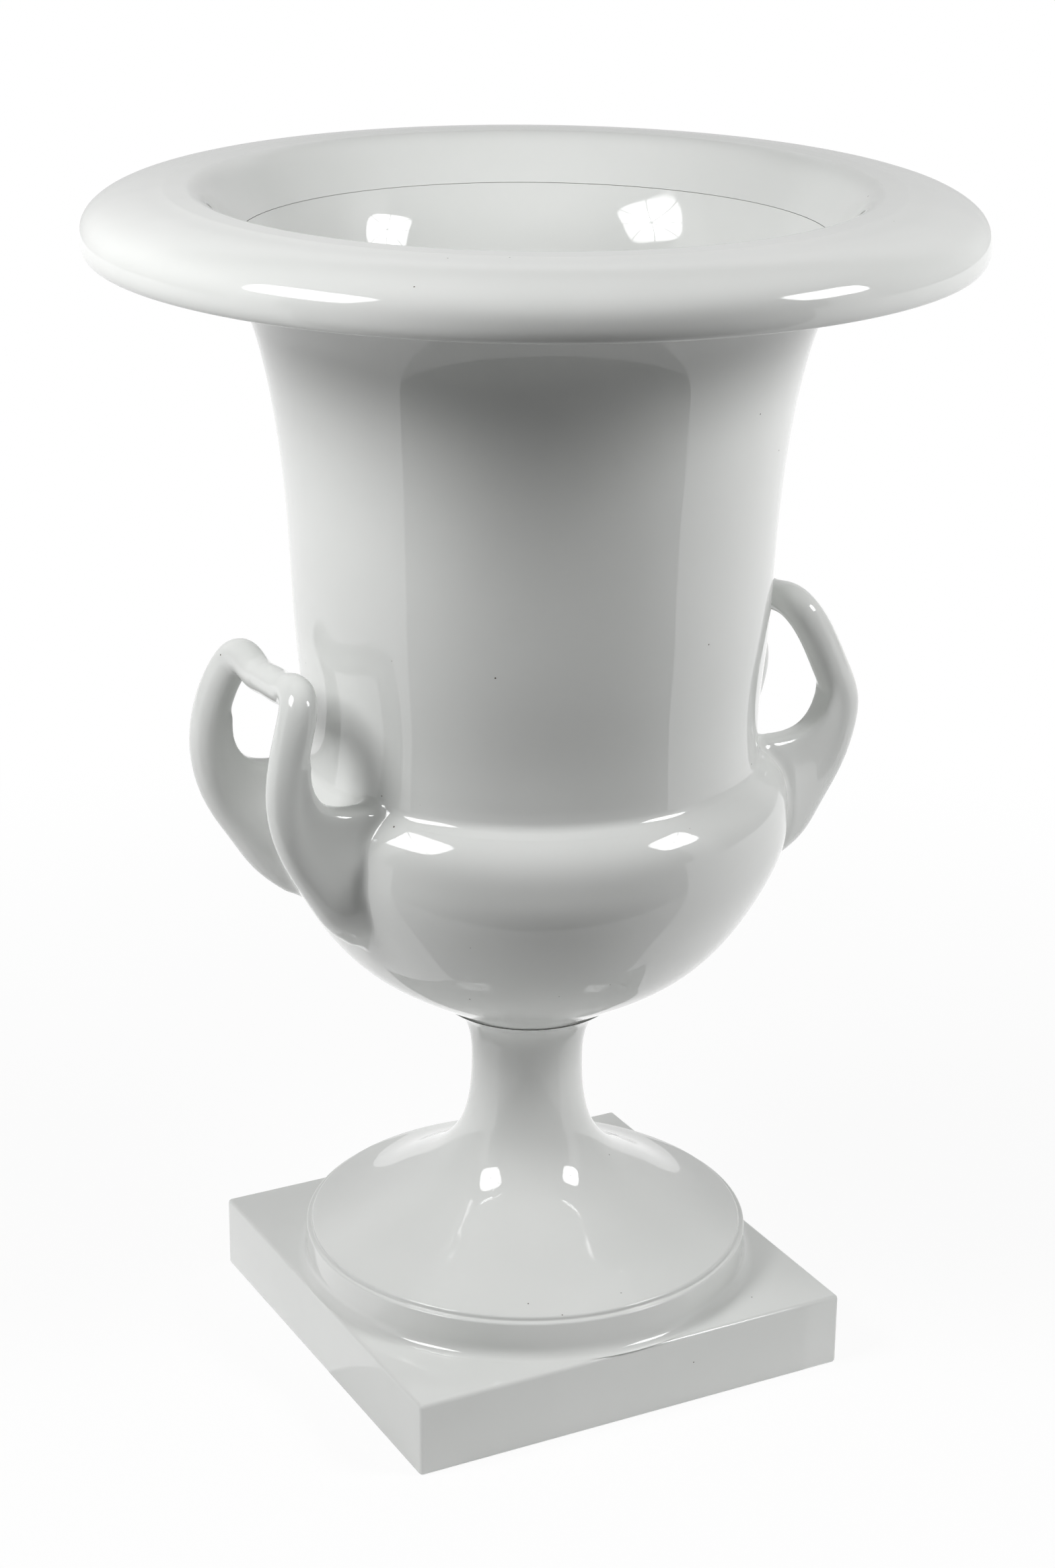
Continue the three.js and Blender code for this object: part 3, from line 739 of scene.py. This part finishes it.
def blendIn(piece, skin):
    # the corners between the vase and the handle are rubbed soft, the free parts stay as they are
    at = vertexValues(piece, "co")
    rise = besideSkin(at, skin)[3] * 1000
    weights = np.clip(yoke["blendFull"] - rise / yoke["blendHeight"], 0, 1)
    near = piece.vertex_groups.new(name="near_vase")
    for level in range(1, 11):
        chosen = np.flatnonzero((weights > (level - 1) / 10) & (weights <= level / 10))
        near.add([int(i) for i in chosen], level / 10, "REPLACE")
    rubSoft(piece, yoke["blendRubs"], near.name)
    applyModifiers(piece)


def settle(piece, skin):
    # near the vase the surface is laid against it, so that the skirt has no edge
    at = vertexValues(piece, "co")
    flat, foot, normal, rise = besideSkin(at, skin)
    above = (rise + 0.00025) * 1000 / yoke["settleHeight"]
    weight = eased(np.clip(above, 0, 1))
    settled = rise * weight - yoke["sunk"] / 1000 * (1 - weight)
    moved = foot + normal * settled[:, None]
    flat = np.where(((above < 1) & (rise > -0.0012))[:, None], moved, flat)
    scale = flat[:, 0] / np.hypot(at[:, 0], at[:, 1])
    at[:, 0] *= scale
    at[:, 1] *= scale
    at[:, 2] = flat[:, 1]
    piece.data.vertices.foreach_set("co", at.ravel())
    piece.data.update()


def joinParts(parts):
    pickNothing()
    for part in parts:
        part.select_set(True)
    bpy.context.view_layer.objects.active = parts[0]
    bpy.ops.object.join()
    return bpy.context.object


def makeClay(piece):
    clay = piece.modifiers.new("clay", "REMESH")
    clay.mode = "VOXEL"
    clay.voxel_size = yoke["grain"] / 1000
    applyModifiers(piece)


def makeHandle(name, nodeName, side, first, second, skin, core):
    parts = [makeYoke(name, side, first, second), makeEar(name + "_earA", side, first, yoke["spread"]),
             makeEar(name + "_earB", side, second, -yoke["spread"])]
    for part in parts:
        cutWith(part, core)
        applyModifiers(part)
    piece = joinParts(parts)
    makeClay(piece)
    flare(piece, skin)
    piece = joinParts([piece, makeSkirt(name + "_skirtA", side, yoke["spread"], skin),
                       makeSkirt(name + "_skirtB", side, -yoke["spread"], skin)])
    makeClay(piece)
    rubSoft(piece, yoke["rubs"])
    applyModifiers(piece)
    blendIn(piece, skin)
    settle(piece, skin)
    bpy.ops.object.shade_smooth()
    piece.name = piece.data.name = name
    print(name, "has", len(piece.data.polygons), "faces")
    return hand(piece, nodeName, handleGlaze)


def makeHandles():
    skin = skinLine()
    core = makeCore(skin)
    makeHandle("yoke_right", "handle_right", 1, rightPost, rightPost, skin, core)
    makeHandle("yoke_left", "handle_left", -1, leftFront, leftBack, skin, core)
    bpy.data.objects.remove(core)


makeHandles()
print("handles made")

# Hardware on the bolt

hardware = {"bolt": 4.0, "hole": 4.15, "flats": 13.0, "chamfer": 0.8, "domeHeight": 6.5, "nutHeight": 6.5,
            "domeIn": 0.4, "cavity": 2.95, "pitch": 1.25, "threadDepth": 0.5, "clearance": 0.02,
            "edge": 0.35, "seatHole": 5.0, "seatEdge": 0.12, "gasketEdge": 0.5}


def span(nodeName):
    # a node's outer radius, bottom and top, in millimetres
    low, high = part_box(nodeName)
    return high[0] * 1000, low[2] * 1000, high[2] * 1000


def makeRing(nodeName, name, hole, finish, edge):
    radius, bottom, top = span(nodeName)
    outline = softened([((hole + radius) / 2, bottom), (radius, bottom), (radius, top), (hole, top),
                        (hole, bottom), ((hole + radius) / 2, bottom)], edge, 3)[:-1]
    return hand(spinPiece(name, outline, 96, 50), nodeName, finish)


def makeNut(nodeName, name, finish, height, domed=False):
    h = hardware
    bottom = span(nodeName)[1]
    top, flat = bottom + height, h["flats"] / 2
    corner = flat / math.cos(math.pi / 6)
    turned = [(h["hole"], bottom), (flat, bottom), (corner, bottom + h["chamfer"]),
              (corner, top - h["chamfer"]), (flat, top)]
    if domed:
        rise = top + h["domeHeight"]
        turned += [tuple(p) for p in arcLine((0, top), flat - h["domeIn"], h["domeHeight"], 0, 90, 24)[:-1]]
        turned += [(0, rise), (0, top + h["cavity"]), (h["hole"], top + h["cavity"])]
    else:
        turned += [(h["hole"], top)]
    piece = spinPiece(name, turned, 72, 30)
    pickNothing()
    bpy.ops.mesh.primitive_cylinder_add(vertices=6, radius=corner / 1000, depth=0.06,
                                        location=(0, 0, (bottom + top) / 2000), rotation=(0, 0, math.pi / 6))
    flats = bpy.context.object
    cutWith(piece, flats, "INTERSECT")
    applyModifiers(piece)
    bpy.data.objects.remove(flats)
    pickOnly(piece)
    bpy.ops.object.shade_smooth_by_angle(angle=math.radians(30))
    return hand(piece, nodeName, finish)


def makeRod():
    h = hardware
    bottom, top = span("tie_rod")[1:]
    crest, groove = h["bolt"] - h["clearance"], h["bolt"] - h["threadDepth"]
    turns = int((top - bottom - 2) / h["pitch"])
    outline = [(0, bottom), (groove - 0.2, bottom), (groove, bottom + 0.6)]
    for i in range(turns):
        at = bottom + 0.9 + i * h["pitch"]
        outline += [(groove, at), (crest, at + h["pitch"] * 0.42), (crest, at + h["pitch"] * 0.55)]
    outline += [(groove, top - 0.6), (groove - 0.2, top), (0, top)]
    return hand(spinPiece("threaded_rod", outline, 48, 25), "tie_rod", zincSteel)


def makeHardware():
    h = hardware
    makeRing("seat_gasket", "seat_disc", h["seatHole"], rubber, h["seatEdge"])
    makeRing("upper_gasket", "bowl_gasket", h["hole"], rubber, h["gasketEdge"])
    makeRing("lower_gasket", "foot_gasket", h["hole"], rubber, h["gasketEdge"])
    makeRing("upper_washer", "bowl_washer", h["hole"], brass, h["edge"])
    makeRing("lower_washer", "foot_washer", h["hole"], zincSteel, h["edge"])
    makeNut("dome_nut", "cap_nut", brass, h["nutHeight"], domed=True)
    for nodeName, name in [("clamp_nut", "hex_nut"), ("lock_nut", "jam_nut")]:
        bottom, top = span(nodeName)[1:]
        makeNut(nodeName, name, zincSteel, top - bottom)
    makeRod()


makeHardware()
print("hardware made")

# Floor, lights and surroundings: a white room, open and dark on the side where the camera stands

studio = {
    # the open side faces this way; a direction's share of it says where the walls begin and end
    "openTo": (-0.3827, -0.9239, 0.0), "rightward": (0.9239, -0.3827, 0.0),
    "openEdge": 0.35, "openSoft": 0.015, "boardEdge": 0.08, "boardSoft": 0.1, "backEdge": -0.6,
    "backSoft": 0.15, "sideSoft": 0.35, "ceilingFrom": 0.5, "ceilingSoft": 0.2,
    "boards": 1.0, "leftWall": 0.25, "rightWall": 0.31, "backWall": 0.68, "ceiling": 0.07, "room": 0.07,
    # the floor as it lights the vase, in metres and shares of white; near the vase the floor also glows,
    # painted light
    "floorWhite": 0.87, "floorDark": 0.12, "floorGlow": 0.13, "tableReach": 0.27, "tableSoft": 0.03,
    # the floor as the picture shows it
    "seenWhite": 1.0, "seenNear": 0.8, "seenFar": 0.9,
    # the floor as the glaze mirrors it: a painted reflection, a glow that only glossy rays see
    "mirrorWhite": 1.1, "mirrorTable": 0.6, "mirrorDark": 0.1, "mirrorNear": 0.26, "mirrorSpread": 0.5,
    "mirrorSoft": 0.004,
}

lights = {
    # place and aim in metres, width, height, power in watts
    "leftUmbrella": ((-0.745, -0.060, 0.926), (0, 0, 0.30), 0.47, 0.42, 9.4),
    "rightUmbrella": ((0.571, -0.574, 0.821), (0, 0, 0.30), 0.36, 0.33, 6.5),
}


def rising(tree, value, low, high):
    # 0 below low, 1 above high, soft in between
    made = node(tree, "MapRange", {"Value": value, "From Min": low, "From Max": high},
                interpolation_type="SMOOTHSTEP")
    return made.outputs["Result"]


def towards(tree, place, direction):
    made = node(tree, "VectorMath", {0: place, 1: direction}, operation="DOT_PRODUCT")
    return made.outputs["Value"]


def makeFloor():
    s = studio
    pickNothing()
    bpy.ops.mesh.primitive_plane_add(size=8, location=(0, 0, 0))
    floor = bpy.context.object
    floor.name = "floor"
    paper = bpy.data.materials.new("floor_paper")
    paper.use_nodes = True
    tree = paper.node_tree
    shader = tree.nodes["Principled BSDF"]
    place = node(tree, "TexCoord").outputs["Object"]
    ahead = towards(tree, place, s["openTo"])
    beyond = rising(tree, ahead, s["tableReach"], s["tableReach"] + s["tableSoft"])
    white = mixed(tree, beyond, s["floorWhite"], s["floorDark"])
    grain = node(tree, "TexNoise", {"Vector": place, "Scale": 40, "Detail": 3})
    tone = node(tree, "MapRange", {"Value": grain.outputs["Fac"], "To Min": 0.99, "To Max": 1.01})
    shade = figure(tree, "MULTIPLY", white, tone.outputs["Result"])
    tree.links.new(shade, shader.inputs["Base Color"])
    shader.inputs["Roughness"].default_value = 0.8
    # painted light: near the vase the floor glows, standing in for light bounced up from a white table
    paintedGlow = mixed(tree, beyond, s["floorGlow"], 0.0)
    tree.links.new(paintedGlow, shader.inputs["Emission Strength"])
    shader.inputs["Emission Color"].default_value = (1, 1, 1, 1)
    rays = node(tree, "LightPath").outputs
    away = node(tree, "VectorMath", {0: place}, operation="LENGTH").outputs["Value"]
    plain = mixed(tree, rising(tree, away, s["seenNear"] * 0.25, s["seenNear"]), s["seenFar"], 1.0)
    seen = figure(tree, "MULTIPLY", rays["Is Camera Ray"], plain)
    glow = node(tree, "Emission", {"Color": (1, 1, 1, 1), "Strength": s["seenWhite"]})
    shown = node(tree, "MixShader", {0: seen, 1: shader.outputs[0], 2: glow.outputs[0]})
    # painted reflection: glossy rays see the floor glow as white boards to the left and right, a dark gap
    # between them
    aside = figure(tree, "ABSOLUTE", towards(tree, place, s["rightward"]))
    gap = figure(tree, "SUBTRACT", ahead, figure(tree, "MULTIPLY", aside, s["mirrorSpread"]))
    front = mixed(tree, rising(tree, ahead, s["mirrorNear"], s["mirrorNear"] + s["mirrorSoft"]),
                  s["mirrorTable"], s["mirrorDark"])
    paintedReflection = mixed(tree, rising(tree, gap, 0.0, s["mirrorSoft"]), s["mirrorWhite"], front)
    boards = node(tree, "Emission", {"Color": (1, 1, 1, 1), "Strength": paintedReflection})
    surface = node(tree, "MixShader", {0: rays["Is Glossy Ray"], 1: shown.outputs[0], 2: boards.outputs[0]})
    tree.links.new(surface.outputs[0], tree.nodes["Material Output"].inputs["Surface"])
    floor.data.materials.append(paper)


umbrella = {
    # across the cloth, whose middle is 0 and whose sides are 1
    "ribFrom": 0.02, "ribTo": 0.1, "ribShade": 0.1, "cornerFrom": 0.55, "cornerTo": 0.9,
    "middleFrom": 0.1, "middleTo": 1.1, "middleGlow": 1.5, "edgeGlow": 0.6,
}


def addRibs(tree, strength):
    # an umbrella's cloth: a square with round corners, brighter in the middle, with eight thin ribs
    u = umbrella
    flat = node(tree, "VectorMath", {0: node(tree, "NewGeometry").outputs["Parametric"], 1: (0.5, 0.5, 0.0)},
                operation="SUBTRACT")
    place = node(tree, "VectorMath", {0: flat.outputs["Vector"], 1: (2.0, 2.0, 0.0)}, operation="MULTIPLY")
    away = node(tree, "VectorMath", {0: place.outputs["Vector"]}, operation="LENGTH").outputs["Value"]
    sides = node(tree, "SeparateXYZ", {"Vector": place.outputs["Vector"]})
    turn = figure(tree, "ARCTAN2", sides.outputs["Y"], sides.outputs["X"])
    rib = figure(tree, "ABSOLUTE", figure(tree, "SINE", figure(tree, "MULTIPLY", turn, 4.0)))
    nearRib = rising(tree, figure(tree, "MULTIPLY", rib, away), u["ribFrom"], u["ribTo"])
    cloth = mixed(tree, nearRib, u["ribShade"], 1.0)
    square = figure(tree, "ADD", figure(tree, "POWER", figure(tree, "ABSOLUTE", sides.outputs["X"]), 4.0),
                    figure(tree, "POWER", figure(tree, "ABSOLUTE", sides.outputs["Y"]), 4.0))
    inside = mixed(tree, rising(tree, square, u["cornerFrom"], u["cornerTo"]), 1.0, 0.0)
    fading = mixed(tree, rising(tree, away, u["middleFrom"], u["middleTo"]), u["middleGlow"], u["edgeGlow"])
    tree.links.new(figure(tree, "MULTIPLY", figure(tree, "MULTIPLY", cloth, inside), fading), strength)


def addLights():
    for name, (place, aim, width, height, power) in lights.items():
        turn = (Vector(aim) - Vector(place)).to_track_quat("-Z", "Y").to_euler()
        bpy.ops.object.light_add(type="AREA", location=place, rotation=turn)
        lamp = bpy.context.object
        lamp.name = name
        lamp.data.shape = "RECTANGLE"
        lamp.data.size, lamp.data.size_y, lamp.data.energy = width, height, power
        lamp.data.use_nodes = True
        tree = lamp.data.node_tree
        addRibs(tree, tree.nodes["Emission"].inputs["Strength"])


def setWorld():
    s = studio
    world = bpy.data.worlds.new("studio")
    world.use_nodes = True
    bpy.context.scene.world = world
    tree = world.node_tree
    ray = node(tree, "TexCoord").outputs["Generated"]
    ahead = towards(tree, ray, s["openTo"])
    sideways = towards(tree, ray, s["rightward"])
    rightSide = rising(tree, sideways, -s["sideSoft"], s["sideSoft"])
    walls = mixed(tree, rightSide, s["leftWall"], s["rightWall"])
    # from behind the vase round to the open side, each soft at its edge
    back = rising(tree, ahead, s["backEdge"] - s["backSoft"], s["backEdge"] + s["backSoft"])
    walls = mixed(tree, back, s["backWall"], walls)
    board = rising(tree, ahead, s["boardEdge"] - s["boardSoft"], s["boardEdge"] + s["boardSoft"])
    walls = mixed(tree, board, walls, s["boards"])
    opening = rising(tree, ahead, s["openEdge"] - s["openSoft"], s["openEdge"] + s["openSoft"])
    around = mixed(tree, opening, walls, s["room"])
    up = towards(tree, ray, (0, 0, 1))
    above = rising(tree, up, s["ceilingFrom"], s["ceilingFrom"] + s["ceilingSoft"])
    light = mixed(tree, above, around, s["ceiling"])
    seen = mixed(tree, node(tree, "LightPath").outputs["Is Camera Ray"], light, s["seenWhite"])
    tree.links.new(seen, tree.nodes["Background"].inputs["Strength"])
    tree.nodes["Background"].inputs["Color"].default_value = (1, 1, 1, 1)


makeFloor()
addLights()
setWorld()
bpy.context.scene.view_settings.view_transform = "Standard"
print("stage set")
